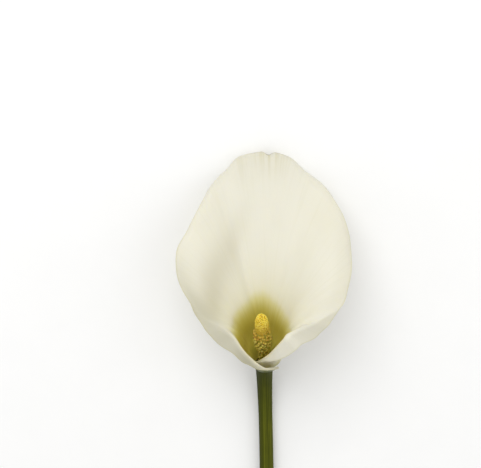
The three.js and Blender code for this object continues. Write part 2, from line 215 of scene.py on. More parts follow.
def column_profiles(az):
    out, height, slope = along(MOUTH, az).T
    grown, radius, turn, hang = along(LIP, az).T
    lean, foot_pull, mouth_pull = along(WALL, az).T
    grown = np.minimum(grown, 1) - NOTCH_DEPTH * notch(az)
    hang = np.maximum(hang, SHORTEST_HANG) + cusp(az)
    slope, turn, lean = np.radians(slope), np.radians(turn), np.radians(lean)

    foot = np.stack([np.full_like(az, FOOT_RADIUS), np.zeros_like(az)])
    mouth = np.stack([out, height])
    lower = foot + foot_pull * np.stack([np.sin(lean), np.cos(lean)])
    upper = mouth - mouth_pull * np.stack([np.sin(slope), np.cos(slope)])
    corners = [corner[..., None] for corner in (foot, lower, upper, mouth)]
    wall = bezier(grown[:, None] * wall_steps, *corners)
    heading = bezier_heading(grown[:, None], *corners)

    start = np.arctan2(heading[0], heading[1])
    turned = start + turn[:, None] * roll_steps
    end = start + turn[:, None]
    roll = wall[..., -1:] + radius[:, None] * np.stack([
        np.cos(start) - np.cos(turned), np.sin(turned) - np.sin(start)])
    short = np.minimum(EDGE_STEPS / hang[:, None], EDGE_SHARES)
    steps = np.concatenate([(1 - short[:, :1]) * hang_steps, 1 - short], axis=1)
    hanging = hang[:, None] * steps
    rim = roll[..., -1:] + hanging * np.stack([np.sin(end), np.cos(end)])
    share = np.concatenate([
        np.broadcast_to(WALL_SHARE * wall_steps, wall[0].shape),
        np.broadcast_to(WALL_SHARE + ROLL_SHARE * roll_steps, roll[0].shape),
        WALL_SHARE + ROLL_SHARE + HANG_SHARE * steps,
    ], axis=1) / (WALL_SHARE + ROLL_SHARE + HANG_SHARE)
    return *np.concatenate([wall, roll, rim], axis=2), share


# %% Grow the spathe's middle surface
WRAP_PITCH = 1.6  # how far the wrap winds outwards in one turn


def spathe_middle(az):
    x, y, share = column_profiles(az)
    x = x - WRAP_PITCH * az[:, None] / 360
    a = np.radians(az)[:, None]
    points = (
        NODE + y[..., None] * AXIS
        + (x * np.cos(a))[..., None] * BACKWARD + (x * np.sin(a))[..., None] * SIDEWAYS
    )
    return points, share


middle, share = spathe_middle(azimuth)
step = np.linalg.norm(np.diff(middle, axis=1), axis=2)
travelled = np.concatenate([np.zeros((len(azimuth), 1)), np.cumsum(step, axis=1)], axis=1)
to_rim = travelled[:, -1:] - travelled
print("longest column, foot to rim: %.0f mm" % travelled[:, -1].max())

# %% [markdown]
# ## Veins, pleats and swellings
# Held to the light, the leaf shows veins that run from the foot to the rim side by side, never as
# a net. Uneven spacing matters more than depth: evenly spaced ridges look like corduroy. So
# slow waves of several lengths push the veins about before they are raised. The same kind of
# wave swells the blade by a few tenths of a millimetre, since no leaf is a perfect sweep, and
# short pleats gather at the tip, where all veins meet.

# %% Raise the veins
VEIN_SPACING, VEIN_WANDER, VEIN_HEIGHT = 2.1, 0.45, 0.022  # degrees, spacings, mm
VEINS_SET_IN, VEINS_RUN_OUT = (25, 60), (0.5, 9)  # mm from the foot, mm from the rim
WANDER_WAVE, STRENGTH_WAVE = (5, 30), (3, 60)  # degrees round the axis, mm from the foot


def slow_waves(x, y, seed, count=6):
    random = np.random.default_rng(seed)
    total = np.zeros(np.broadcast(x, y).shape)
    for _ in range(count):
        fx, fy, phase = random.uniform(-1, 1), random.uniform(-1, 1), random.uniform(0, 2 * math.pi)
        total = total + np.sin(fx * x + fy * y + phase)
    return total / math.sqrt(count)


def leaf_waves(wave, seed):
    return slow_waves(az_grid / wave[0], travelled / wave[1], seed)


az_grid = np.broadcast_to(azimuth[:, None], share.shape)
vein = az_grid / VEIN_SPACING + VEIN_WANDER * leaf_waves(WANDER_WAVE, seed=3)
ridge = np.abs(np.cos(math.pi * vein)) ** 3
strength = np.clip(0.6 + 0.3 * leaf_waves(STRENGTH_WAVE, seed=4), 0, 1)
veins = VEIN_HEIGHT * ridge * strength * smooth_step(travelled, *VEINS_SET_IN)
veins = veins * smooth_step(to_rim, *VEINS_RUN_OUT)
print("tallest vein: %.3f mm" % veins.max())

# %% Pleats, swellings and the ruffle
PLEAT_HEIGHT, PLEAT_SPACING = 0.28, 2.4  # mm, degrees
PLEAT_SPREAD, PLEAT_LENGTH = 6.5, 16  # degrees to either side of the tip, mm from the rim
SWELLING, SWELLING_WAVE = 0.28, (14, 13)  # mm, degrees and mm
SWELLING_SETS_IN, SWELLING_RUNS_OUT = (30, 70), (1, 14)  # mm from the foot, mm from the rim
RUFFLE_DEPTH, RUFFLE_WAVE, RUFFLE_POWER = 0.6, 21, 4
RUFFLE_SETS_IN, RUFFLE_RUNS_OUT = (12, 30), (75, 110)  # degrees from the middle of the back

pleat = np.cos(math.pi * az_grid / PLEAT_SPACING)
pleat = pleat * np.exp(-(az_grid / PLEAT_SPREAD) ** 2) * np.exp(-(to_rim / PLEAT_LENGTH) ** 2)
swelling = SWELLING * leaf_waves(SWELLING_WAVE, seed=5)
swelling = swelling * smooth_step(travelled, *SWELLING_SETS_IN)
swelling = swelling * smooth_step(to_rim, *SWELLING_RUNS_OUT)
from_back = np.abs(az_grid)
ruffled = smooth_step(from_back, *RUFFLE_SETS_IN) * (1 - smooth_step(from_back, *RUFFLE_RUNS_OUT))
ruffle = RUFFLE_DEPTH * share**RUFFLE_POWER * ruffled * np.sin(2 * math.pi * az_grid / RUFFLE_WAVE)
lift = veins + PLEAT_HEIGHT * pleat + swelling - ruffle
print("the blade moves from its middle by %.2f to %.2f mm" % (lift.min(), lift.max()))

# %% [markdown]
# ## Two faces and a rounded edge
# A leaf is thicker at the foot than at the rim. The middle surface is moved half the thickness to
# either side along its normal, and the thickness shrinks along a quarter circle close to the
# edge, so that the rim ends in a round. Blender's Solidify could thicken a sheet too, but it
# leaves the edge square and knows nothing of the foot and the rim.

# %% Thicken the leaf
FOOT_THICKNESS, RIM_THICKNESS = 1.15, 0.55
EDGE_ROUND, EDGE_LEFT = 0.42, 0.06  # mm that the round takes, share of the thickness at its end
RADIUS_SHARE = 0.5  # distance from the axis, as a rough share of the distance from the node


def across_and_up(points):
    across = np.empty_like(points)
    across[1:-1] = points[2:] - points[:-2]
    across[0], across[-1] = points[1] - points[0], points[-1] - points[-2]
    up = np.empty_like(points)
    up[:, 1:-1] = points[:, 2:] - points[:, :-2]
    up[:, 0], up[:, -1] = AXIS, points[:, -1] - points[:, -2]
    return across, up


def unit(vectors):
    return vectors / np.linalg.norm(vectors, axis=-1, keepdims=True)


across, up = across_and_up(middle)
normal = unit(np.cross(across, up))
from_margin = np.minimum(azimuth - LEFT_MARGIN, RIGHT_MARGIN - azimuth)
from_axis = RADIUS_SHARE * np.linalg.norm(middle - NODE, axis=2)
side_way = np.radians(from_margin)[:, None] * from_axis
inward = np.clip(np.minimum(to_rim, side_way + 0.02) / EDGE_ROUND, 0, 1)
rounding = np.sqrt(1 - (1 - inward) ** 2) * (1 - EDGE_LEFT) + EDGE_LEFT
half = 0.5 * (FOOT_THICKNESS + (RIM_THICKNESS - FOOT_THICKNESS) * share) * rounding
inner = middle + normal * (half + lift)[..., None]
outer = middle + normal * (lift - half)[..., None]
for face in (inner, outer):
    face[..., 2] = np.maximum(face[..., 2], 0)
print("lowest point of the leaf: %.2f mm" % min(inner[..., 2].min(), outer[..., 2].min()))

# %% [markdown]
# ## Where the leaf's colours lie
# Colour follows the leaf's growth, so it is placed as the shape was: by azimuth, and by the way
# from the foot or from the rim. The shares are stored on the mesh's points as attributes, which
# a material can read. A noise texture could tint the leaf too, but it can't know where the throat
# ends. The throat's green reaches a certain way up at each azimuth, and it fades most slowly in a
# tongue up the middle of the back. Painted shade darkens the folds beyond the crest, the left one
# most of all, and parts of the rim, and a soft valley of painted shade crosses the limb above the
# left fold. A thin painted highlight runs along the rolled lip, and the notch in the tip is
# darkened to brown, partly the tip's own colour and partly painted shade where the tip turns under.

# %% Measurements of the colours
GREEN_EDGE = [
    [-216, 2], [-165, 6], [-150, 34], [-130, 50], [-105, 54.4], [-90, 50.6], [-77, 47],
    [-60, 43.7], [-41, 43.1], [-25, 43.5], [-3, 45.7], [13, 41.4], [38, 37.1], [55, 38.2],
    [70, 38.8], [100, 45], [130, 50], [214, 40],
]
GREEN_FADE = [[-34, 1], [-18, 0.95], [-7, 0.79], [0, 0.45], [5, 0.17], [12, 0.08], [27, 0]]
GREEN_BAND = (0.6, 4)  # mm below the crest of the lip, over which the green sets in
TONGUE_STRETCH, TONGUE_WIDTH = 0.38, 22  # how much softer the green edge is up the back
# Painted shade on the folds beyond the lip's crest, as a share at each azimuth
FOLD_SHADE = [
    [-216, 1], [-163, 1], [-150, 0.95], [-131, 0.75], [-118, 0.5], [-108, 0.55], [-95, 0.62],
    [-80, 0.65], [-70, 0.5], [-58, 0.2], [-45, 0], [66, 0], [80, 0.16], [92, 0.24],
    [102, 0.14], [116, 0], [160, 0], [180, 0.25], [214, 0.5],
]
FOLD_BAND = (-1, 4)  # mm beyond the crest, over which the painted shade of the fold sets in
# Painted shade near the rim, as a share at each azimuth
RIM_SHADE = [
    [-216, 0], [-108, 0], [-95, 0.5], [-82, 0.58], [-68, 0.48], [-55, 0.22], [-42, 0], [25, 0],
    [45, 0.15], [75, 0.15], [95, 0], [214, 0],
]
RIM_BAND = (2, 19)  # mm from the rim, over which that painted shade ends
# Painted shade in a soft valley across the limb: azimuth, mm from the foot, strength
VALLEY = [
    [-216, 66, 0], [-100, 66, 0], [-90, 66, 0.2], [-84, 66, 0.42], [-74, 65, 0.55],
    [-64, 65, 0.52], [-56, 66, 0.49], [-46, 71, 0.45], [-37, 75, 0.38], [-28, 78, 0.3],
    [-20, 84, 0.23], [-13, 95, 0.15], [-6, 104, 0.05], [0, 104, 0], [214, 104, 0],
]
VALLEY_WIDTH = 12.5
# A painted highlight along the crest of the rolled lip, as a share at each azimuth
CREST_HIGHLIGHT_SHARE = [
    [-216, 0.6], [-120, 1], [-106, 0.5], [-98, 0], [96, 0], [104, 0.6], [130, 1], [214, 1],
]
# Widths of the painted highlight, and of the notch's brown and painted shade
SHINE_WIDTH, BROWN_WIDTH, BROWN_SPREAD = 0.55, 8, 5  # mm, degrees, square mm
CREST_ROW = len(wall_steps) - 1
SHINE_ROW, BROWN_ROW = CREST_ROW + 6, CREST_ROW + 9  # on the roll

# %% Place the colours
crest_way = travelled[:, [CREST_ROW]]
softness = 1 + TONGUE_STRETCH * np.exp(-(az_grid / TONGUE_WIDTH) ** 2)
past_edge = (travelled - along(GREEN_EDGE, azimuth)) / softness
green = along(GREEN_FADE, past_edge.ravel()).reshape(share.shape)
green = green * smooth_step(crest_way - travelled, *GREEN_BAND)
# Painted shade on the folds beyond the crest and on parts of the rim
fold_shade = along(FOLD_SHADE, azimuth) * smooth_step(travelled - crest_way, *FOLD_BAND)
fold_shade = np.maximum(fold_shade, along(RIM_SHADE, azimuth) * (1 - smooth_step(to_rim, *RIM_BAND)))
# Painted shade along the valley across the limb
valley_way, valley_shade = along(VALLEY, azimuth).T[..., None]
valley = valley_shade * np.exp(-((travelled - valley_way) / VALLEY_WIDTH) ** 2)
# A painted highlight along the lip's crest
beyond_shine = travelled - travelled[:, [SHINE_ROW]]
crest = along(CREST_HIGHLIGHT_SHARE, azimuth) * np.exp(-(beyond_shine / SHINE_WIDTH) ** 2)
# The notch is darkened, partly the tip's own colour, partly painted shade where the tip turns under
beside_notch = np.maximum(0, 1 - np.abs(az_grid - NOTCH_AZIMUTH) / BROWN_WIDTH)
browned_and_shaded = np.maximum(notch(az_grid) ** 0.5, 0.4 * beside_notch)
notch_brown_and_shade = browned_and_shaded * np.exp(-(to_rim - to_rim[:, [BROWN_ROW]]) ** 2 / BROWN_SPREAD)
print("share of the leaf that is green: %.2f" % green.mean())

# %% [markdown]
# ## One body from two faces
# Blender builds a mesh from a list of points and a list of faces. The inner and the outer face of
# the leaf are two grids of points, and four seams along the foot, the rim and both margins close
# them, so the leaf is one solid body. Bridging the open edges by hand would do the same, but a
# grid's points are numbered in order, so a short formula finds every quad.

# %% Helpers that make a mesh
def make_object(name, points, faces, attributes):
    mesh = bpy.data.meshes.new(name)
    mesh.from_pydata((points * MM).tolist(), [], faces)
    for key, values in attributes.items():
        layer = mesh.attributes.new(key, "FLOAT", "POINT")
        layer.data.foreach_set("value", np.ascontiguousarray(values, np.float32).ravel())
    mesh.shade_smooth()
    mesh.validate()
    piece = bpy.data.objects.new(name, mesh)
    bpy.context.scene.collection.objects.link(piece)
    return piece


def grid_quads(columns, rows, first, flip=False):
    i, j = np.meshgrid(np.arange(columns - 1), np.arange(rows - 1), indexing="ij")
    a = first + i * rows + j
    quads = np.stack([a, a + rows, a + rows + 1, a + 1], axis=-1).reshape(-1, 4)
    return quads[:, ::-1] if flip else quads


# %% Join the two faces into one body
columns, rows = share.shape
count = columns * rows
index = np.arange(2 * count).reshape(2, columns, rows)
foot, rim = index[:, :, 0], index[:, :, -1]
left, right = index[:, 0, :], index[:, -1, :]


def seam(one, other):
    return np.stack([one[:-1], other[:-1], other[1:], one[1:]], axis=-1)


def on_both_faces(values):
    return np.concatenate([values.ravel(), values.ravel()])


quads = np.concatenate([
    grid_quads(columns, rows, 0), grid_quads(columns, rows, count, flip=True),
    seam(foot[0], foot[1]), seam(rim[1], rim[0]), seam(left[1], left[0]), seam(right[0], right[1]),
])
leaf_maps = {
    "azimuth": az_grid, "travelled": travelled, "to_rim": to_rim, "vein": vein, "green": green,
    "notch_brown_and_shade": notch_brown_and_shade, "fold_shade": fold_shade, "crest": crest, "valley": valley,
}
attributes = {key: on_both_faces(values) for key, values in leaf_maps.items()}
attributes["inner_side"] = np.concatenate([np.ones(count), np.zeros(count)])
leaf_points = np.concatenate([inner.reshape(-1, 3), outer.reshape(-1, 3)])
spathe = make_object("spathe_leaf", leaf_points, quads.tolist(), attributes)
print("spathe:", len(spathe.data.vertices), "points,", len(spathe.data.polygons), "faces")

# %% [markdown]
# ## The spadix
# The spike inside the bloom is a crowd of flowers of its own. The upper zone bears only stamens,
# blunt golden blocks with a groove down the middle, dusted with pollen. The lower zone bears
# ovaries, each a plump green bead with a short style, and pale clubs, which are stamens that
# never ripen. They crowd and lean, so nothing stands in rows. A bump texture could hint at them,
# but they are big enough to be seen, so each is modelled. One template is shaped from rings, then
# copied to hundreds of places on a spiral whose step is the golden angle, as plants place them.

# %% Measurements of the spadix
SPADIX_HEIGHT, BACK_LEAN, LEFT_LEAN, LEAN_POWER = 55, 6, 2.6, 1.3
GOLDEN_ANGLE = math.pi * (3 - math.sqrt(5))
# Each row is a height above the node and a radius there, in mm.
PISTILLATE = [[4.3, 3.2], [12, 2.9], [19, 3.3], [26, 4.7], [32, 5], [39.2, 4.4]]
STAMINATE = [[39.8, 3.95], [41, 4.1], [47, 3.95], [51, 3.4], [53.5, 2.3], [54.7, 1.0]]


def spadix_centre(height):
    leaned = np.clip(height / SPADIX_HEIGHT, 0, 1)
    return (
        NODE + height[..., None] * AXIS + (BACK_LEAN * leaned**LEAN_POWER)[..., None] * BACKWARD
        - (LEFT_LEAN * leaned)[..., None] * SIDEWAYS
    )


def radial(turn):
    return np.cos(turn)[..., None] * BACKWARD + np.sin(turn)[..., None] * SIDEWAYS


# %% Places on the golden spiral
def spiral_places(outline, spacing):
    fine = np.linspace(outline[0][0], outline[-1][0], 400)
    radius = along(outline, fine)[:, 0]
    slant = np.gradient(radius, fine)
    area = np.concatenate([[0], np.cumsum(
        2 * math.pi * radius[1:] * np.hypot(1, slant[1:]) * np.diff(fine))])
    number = int(area[-1] / spacing**2)
    height = np.interp((np.arange(number) + 0.5) / number * area[-1], area, fine)
    turn = np.arange(number) * GOLDEN_ANGLE
    return height, turn, np.interp(height, fine, radius), np.interp(height, fine, slant)


def frames_at(height, turn, radius, slant):
    out = radial(turn)
    outward = unit(out - slant[:, None] * AXIS)
    sideward = unit(np.cross(AXIS, outward))
    upward = np.cross(outward, sideward)
    return spadix_centre(height) + radius[:, None] * out, outward, sideward, upward


# %% A template made of rings
def ring_template(profile, segments, shape=None):
    turn = np.arange(segments) * 2 * math.pi / segments
    rings = [np.stack([r * np.cos(turn), r * np.sin(turn), np.full(segments, z)], axis=1)
             for r, z in profile[1:-1]]
    points = np.concatenate([[[0, 0, profile[0][1]]], *rings, [[0, 0, profile[-1][1]]]])
    if shape:
        points = shape(points)
    last = len(points) - 1
    faces = [[0, 1 + (k + 1) % segments, 1 + k] for k in range(segments)]
    for ring in range(len(rings) - 1):
        a = 1 + ring * segments
        faces += [[a + k, a + (k + 1) % segments, a + segments + (k + 1) % segments,
                   a + segments + k] for k in range(segments)]
    a = last - segments
    faces += [[last, a + k, a + (k + 1) % segments] for k in range(segments)]
    return points, faces


def crowd(template, faces, places, sizes, spins, stray=0.0, proud=0.0):
    origin, outward, sideward, upward = places
    wander = np.random.default_rng(len(origin)).normal(0, 1, (3, len(origin), 1))
    origin = origin + stray * (wander[0] * sideward + wander[1] * upward)
    origin = origin + proud * wander[2] * outward
    c, s = np.cos(spins)[:, None], np.sin(spins)[:, None]
    ex, ey = c * sideward + s * upward, c * upward - s * sideward
    local = template[None] * sizes[:, None, None]
    points = origin[:, None] + (
        local[..., :1] * ex[:, None] + local[..., 1:2] * ey[:, None]
        + local[..., 2:] * outward[:, None]
    )
    many = [[v + k * len(template) for v in face] for k in range(len(origin)) for face in faces]
    return points.reshape(-1, 3), many


# %% The spike's core under its florets
def tube_faces(rings, sides, flip=False):
    faces = []
    for ring in range(rings - 1):
        for k in range(sides):
            a, b = ring * sides + k, ring * sides + (k + 1) % sides
            faces.append([a, b, b + sides, a + sides] if flip else [a, a + sides, b + sides, b])
    first_lid, last_lid = list(range(sides)), list(range((rings - 1) * sides, rings * sides))
    return faces + ([first_lid[::-1], last_lid] if flip else [first_lid, last_lid[::-1]])


def spike_core(outline, sunk, segments=32, rings=40):
    height = np.linspace(outline[0][0], outline[-1][0], rings)
    radius = np.maximum(along(outline, height)[:, 0] - sunk, 0.3)
    turn = np.arange(segments) * 2 * math.pi / segments
    points = spadix_centre(height)[:, None] + radius[:, None, None] * radial(turn)[None]
    return points.reshape(-1, 3), tube_faces(rings, segments)


def join_parts(name, parts):
    points, faces, keys = [], [], parts[0][2].keys()
    layers = {key: [] for key in keys}
    for part_points, part_faces, values in parts:
        start = sum(len(p) for p in points)
        points.append(part_points)
        faces += [[v + start for v in face] for face in part_faces]
        for key in keys:
            layers[key].append(np.broadcast_to(values[key], len(part_points)))
    layers = {key: np.concatenate(value) for key, value in layers.items()}
    return make_object(name, np.concatenate(points), faces, layers)


# %% Stamens
random = np.random.default_rng(11)
STAMEN_SPACING, STAMEN_SUNK = 1.14, 0.1
STAMEN_SIDES, STAMEN_TOP = 12, 0.53
STAMEN_PROFILE = [
    (0, -0.5), (0.45, -0.4), (0.62, -0.05), (0.6, 0.24), (0.46, 0.44), (0.22, 0.52),
    (0, STAMEN_TOP),
]
GROOVE_DEPTH, GROOVE_WIDTH, CROSS_DEPTH, CROSS_WIDTH = 0.22, 0.17, 0.08, 0.15


def anther(points):
    x, y, z = points.T
    groove = GROOVE_DEPTH * np.exp(-(x / GROOVE_WIDTH) ** 2) * (z > 0)
    cross = CROSS_DEPTH * np.exp(-(y / CROSS_WIDTH) ** 2) * (z > 0)
    return np.stack([1.15 * x, 0.95 * y, z - groove - cross], axis=1)


template, faces = ring_template(STAMEN_PROFILE, STAMEN_SIDES, anther)
height, turn, radius, slant = spiral_places(STAMINATE, STAMEN_SPACING)
number = len(height)
sizes = random.uniform(0.82, 1.14, number)
spins = random.uniform(-0.9, 0.9, number)
places = frames_at(height, turn, radius - STAMEN_SUNK, slant)
points, many = crowd(template, faces, places, sizes, spins, stray=0.1, proud=0.11)
core_points, core_faces = spike_core(STAMINATE, sunk=0.25)
staminate = join_parts("staminate_zone", [
    (core_points, core_faces, {"shade": 0.2, "tip": 0.0, "height": 45.0}),
    (points, many, {
        "shade": np.repeat(random.uniform(0, 1, number), len(template)),
        "tip": np.tile(template[:, 2] / STAMEN_TOP, number),
        "height": np.repeat(height, len(template)),
    }),
])
print(number, "stamens,", len(staminate.data.polygons), "faces")

# %% Ovaries with their styles, and clubs
OVARY_PROFILE = [
    (0, -1.0), (1, -0.7), (1.35, -0.2), (1.38, 0.2), (1.22, 0.6), (0.9, 0.88), (0.5, 1.0),
    (0.3, 1.06), (0.26, 1.14), (0.34, 1.22), (0.32, 1.3), (0.18, 1.35), (0, 1.32),
]
CLUB_PROFILE = [
    (0, -0.9), (0.5, -0.5), (0.62, 0), (0.82, 0.45), (0.8, 0.8), (0.5, 1.02), (0, 1.08),
]
GROWN_HEIGHTS, GROWN_SIZES = [4, 12, 24, 36], [0.5, 0.6, 1, 0.88]  # smaller towards the foot
STIGMA_START, STIGMA_LENGTH = 0.85, 0.4


def florets(profile, segments, spacing, sunk, mark, stray, turned=0.0):
    template, faces = ring_template(profile, segments)
    height, turn, radius, slant = spiral_places(PISTILLATE, spacing)
    number = len(height)
    sizes = random.uniform(0.76, 1.16, number) * np.interp(height, GROWN_HEIGHTS, GROWN_SIZES)
    spins = random.uniform(0, 2 * math.pi, number)
    places = frames_at(height, turn + turned, radius - sunk, slant)
    points, many = crowd(template, faces, places, sizes, spins, stray, proud=0.12)
    tip = np.clip((template[:, 2] - STIGMA_START) / STIGMA_LENGTH, 0, 1)
    print(number, "of", len(faces), "faces each")
    return points, many, {
        "shade": np.repeat(random.uniform(0, 1, number), len(template)), "kind": mark,
        "tip": np.tile(tip, number), "height": np.repeat(height, len(template)),
    }


core_points, core_faces = spike_core(PISTILLATE, sunk=0.5)
pistillate = join_parts("pistillate_zone", [
    (core_points, core_faces, {"shade": 0.2, "tip": 0.0, "height": 20.0, "kind": 0.0}),
    florets(OVARY_PROFILE, 14, spacing=2.8, sunk=0.45, mark=0.0, stray=0.35),
    florets(CLUB_PROFILE, 10, spacing=2.3, sunk=0.05, mark=1.0, stray=0.55, turned=1.3),
])
print("pistillate zone:", len(pistillate.data.polygons), "faces")

# %% [markdown]
# ## The stem
# A calla's stalk is smooth, fleshy and nearly round, with faint ribs that follow its length. A
# bevelled curve would give the tube in one step, but not the slanted cut, the shoulder at the
# node or the ribs, so the rings are laid along the same centre line as the CAD solid's. The cut
# face is real too: calla stems are a sponge of long air canals, which show as small pits.

# %% Measurements of the stem
NECK_BEND_RADIUS, NODE_HEIGHT, CLEARANCE = 55, 24.1, 0.3
STEM_TOP_RADIUS, SWELL_POWER, STEM_RADIUS, STEM_FOOT_RADIUS = 6.2, 0.55, 4.65, 5.1
STEM_LENGTH, STEM_YAW, STEM_SWEEP_RADIUS = 200, math.radians(1.8), 2200
CUT_SLANT = math.radians(35)
CAD_SIDES = 16
FACET = math.cos(math.pi / CAD_SIDES)  # how near its centre a flat side of the CAD stem is
CORE_RADIUS = 3
NECK_LENGTH = NECK_BEND_RADIUS * AXIS_TILT
STEM_SIDES = 56


def stem_radius(beyond):
    return STEM_RADIUS + (STEM_FOOT_RADIUS - STEM_RADIUS) * beyond / STEM_LENGTH


def stem_centre(distance):
    turned_to = AXIS_TILT * (1 - np.minimum(distance / NECK_LENGTH, 1))
    neck_y = NECK_BEND_RADIUS * (np.sin(turned_to) - math.sin(AXIS_TILT))
    beyond = np.maximum(distance - NECK_LENGTH, 0)
    sweep = distance * math.tan(STEM_YAW) - beyond**2 / (2 * STEM_SWEEP_RADIUS)
    risen = (1 - np.cos(turned_to)) / (1 - math.cos(AXIS_TILT))
    z = stem_radius(beyond) * FACET + risen * (NODE_HEIGHT - STEM_RADIUS * FACET)
    base = np.array([NODE[0], NODE[1], 0])
    return base + np.stack([sweep, neck_y - beyond, z], axis=-1)


# %% Lay the rings of the stem
STALK_RINGS, NECK_RINGS = 90, 34

distance = np.concatenate([
    NECK_LENGTH + np.linspace(STEM_LENGTH, 0, STALK_RINGS, endpoint=False),
    np.linspace(NECK_LENGTH, 0, NECK_RINGS),
])
centre = stem_centre(distance)
heading = stem_centre(distance - 0.5) - stem_centre(distance + 0.5)
heading[distance > NECK_LENGTH, 2] = 0
heading = unit(heading)
heading[-1] = AXIS
beyond = np.maximum(distance - NECK_LENGTH, 0)
neck = np.clip(distance / NECK_LENGTH, 0, 1) ** SWELL_POWER
neck_radius = STEM_TOP_RADIUS + (STEM_RADIUS - STEM_TOP_RADIUS) * neck
radius = np.where(distance > NECK_LENGTH, stem_radius(beyond), neck_radius)
centre[-1] = NODE - CLEARANCE * AXIS
print(len(distance), "rings from the cut to the node")

# %% Ribs, skin and the slanted cut
SKIN = 0.05  # outside the CAD solid's corners
RIB_HEIGHT, FLUTE_HEIGHT, FLUTES = 0.05, 0.03, 11
RIB_WAVES, RIB_DRIFT = 9, 90  # how close the ribs lie, and mm of stem over which they drift
RIBS_SET_IN = (1, 12)  # mm below the node
SLANT_LENGTH = 9  # mm of stem, over which the rings lean into the cut

turn = (np.arange(STEM_SIDES) + 0.5) * 2 * math.pi / STEM_SIDES
side = unit(np.cross(heading, UP))
upward = np.cross(side, heading)
drift = RIB_WAVES * np.cos(turn)[None] + distance[:, None] / RIB_DRIFT
ribs = RIB_HEIGHT * slow_waves(RIB_WAVES * np.sin(turn)[None], drift, seed=7)
ribs = ribs + FLUTE_HEIGHT * np.cos(FLUTES * turn)[None]
ring_radius = radius[:, None] + SKIN + ribs * smooth_step(distance, *RIBS_SET_IN)[:, None]
near_cut = distance.max() - distance
slant = math.tan(CUT_SLANT) * np.clip(1 - near_cut / SLANT_LENGTH, 0, 1)
ring_points = (
    centre[:, None]
    + (ring_radius * np.cos(turn))[..., None] * side[:, None]
    + (ring_radius * np.sin(turn))[..., None] * upward[:, None]
    + (slant[:, None] * ring_radius * np.sin(turn))[..., None] * heading[:, None]
)
ring_points[..., 2] = np.maximum(ring_points[..., 2], 0)
print("lowest point of the stem: %.2f mm" % ring_points[..., 2].min())

# %% The cut face with its air canals
CAP_RINGS = 26
CANALS, CANAL_REACH, CANAL_WIDTH, CANAL_DEPTH = 420, 0.86, 0.035, 0.3  # widths as shares
DISH_DEPTH = 0.12

canals = np.random.default_rng(21).uniform(-1, 1, (CANALS, 2))
canals = canals[np.hypot(*canals.T) < CANAL_REACH]
inwards = np.linspace(1, 0.03, CAP_RINGS)[1:]
cut_ring, cut_middle = ring_points[0], ring_points[0].mean(axis=0)
flat = np.stack([np.cos(turn), np.sin(turn)], axis=1)
cap_points, cap_marks = [], []
for share_out in inwards[::-1]:
    nearest = np.min(np.linalg.norm(flat[:, None] * share_out - canals[None], axis=2), axis=1)
    pit = np.exp(-(nearest / CANAL_WIDTH) ** 2)
    sunk = DISH_DEPTH * (1 - share_out**4) + CANAL_DEPTH * pit
    cap_points.append(cut_middle + (cut_ring - cut_middle) * share_out + sunk[:, None] * heading[0])
    cap_marks.append(pit[::-1])  # the marks of painted shade lie mirrored against the pits
print(len(canals), "air canals")

# %% The core, and the stem in one mesh
core_rings = [
    NODE + core_height * AXIS + CORE_RADIUS * (
        np.cos(turn)[:, None] * side[-1] + np.sin(turn)[:, None] * upward[-1])
    for core_height in (-CLEARANCE, CORE_HEIGHT)
]
stalk_points = np.concatenate([*cap_points, ring_points.reshape(-1, 3), *core_rings])
ring_count = len(stalk_points) // STEM_SIDES
cap_count = len(cap_points) * STEM_SIDES
rest = np.zeros(len(stalk_points) - cap_count)
stem = make_object("stem_stalk", stalk_points, tube_faces(ring_count, STEM_SIDES, flip=True), {
    "cut_face": np.concatenate([np.ones(cap_count), rest]),
    "cut_share": np.concatenate([np.repeat(inwards[::-1], STEM_SIDES), rest + 1]),
    "pit": np.concatenate([*cap_marks, rest]),
    "down_stem": np.concatenate([
        np.full(cap_count, distance.max()), np.repeat(distance, STEM_SIDES),
        np.zeros(2 * STEM_SIDES)]),
    "round_stem": np.tile(turn, ring_count),
})
print("stem:", len(stem.data.vertices), "points")

# %% [markdown]
# ## Finishes
# Every finish here is made of nodes, with no picture in it. A few helpers keep the material cells
# short: one starts a Principled material, and the others add an attribute, a ramp, a noise or
# a mix. Numbers that are the same all over are set on the shader itself.

# %% Colours as a screen shows them
def linear(channel):
    share = channel / 255
    return share / 12.92 if share <= 0.04045 else ((share + 0.055) / 1.055) ** 2.4


def srgb(red, green, blue):
    return (linear(red), linear(green), linear(blue), 1.0)


print("white is", srgb(255, 255, 255))

# %% Nodes that pass numbers on
class NodeBoard:
    def __init__(self, tree):
        self.tree = tree

    def add(self, kind, **settings):
        node = self.tree.nodes.new(kind)
        for key, value in settings.items():
            setattr(node, key, value)
        return node

    def link(self, source, target):
        self.tree.links.new(source, target)

    def fill(self, socket, value):
        if isinstance(value, bpy.types.NodeSocket):
            self.link(value, socket)
        else:
            socket.default_value = value

    def attribute(self, name):
        return self.add("ShaderNodeAttribute", attribute_name=name).outputs["Fac"]

    def math(self, operation, a, b=0.0):
        node = self.add("ShaderNodeMath", operation=operation)
        self.fill(node.inputs[0], a)
        self.fill(node.inputs[1], b)
        return node.outputs[0]

    def plus(self, a, b):
        return self.math("ADD", a, b)

    def minus(self, a, b):
        return self.math("SUBTRACT", a, b)

    def times(self, a, b):
        return self.math("MULTIPLY", a, b)

    def between(self, value, low, high, to_low=0.0, to_high=1.0):
        node = self.add("ShaderNodeMapRange", interpolation_type="SMOOTHSTEP")
        for socket, v in zip(node.inputs, (value, low, high, to_low, to_high)):
            self.fill(socket, v)
        return node.outputs[0]

    def setting_in(self, value, low, high, most=1.0):
        return self.between(value, low, high, 0.0, most)

    def fading(self, value, low, high, most=1.0):
        return self.between(value, low, high, most, 0.0)

    def vector(self, x, y, z=0.0):
        node = self.add("ShaderNodeCombineXYZ")
        for socket, v in zip(node.inputs, (x, y, z)):
            self.fill(socket, v)
        return node.outputs[0]


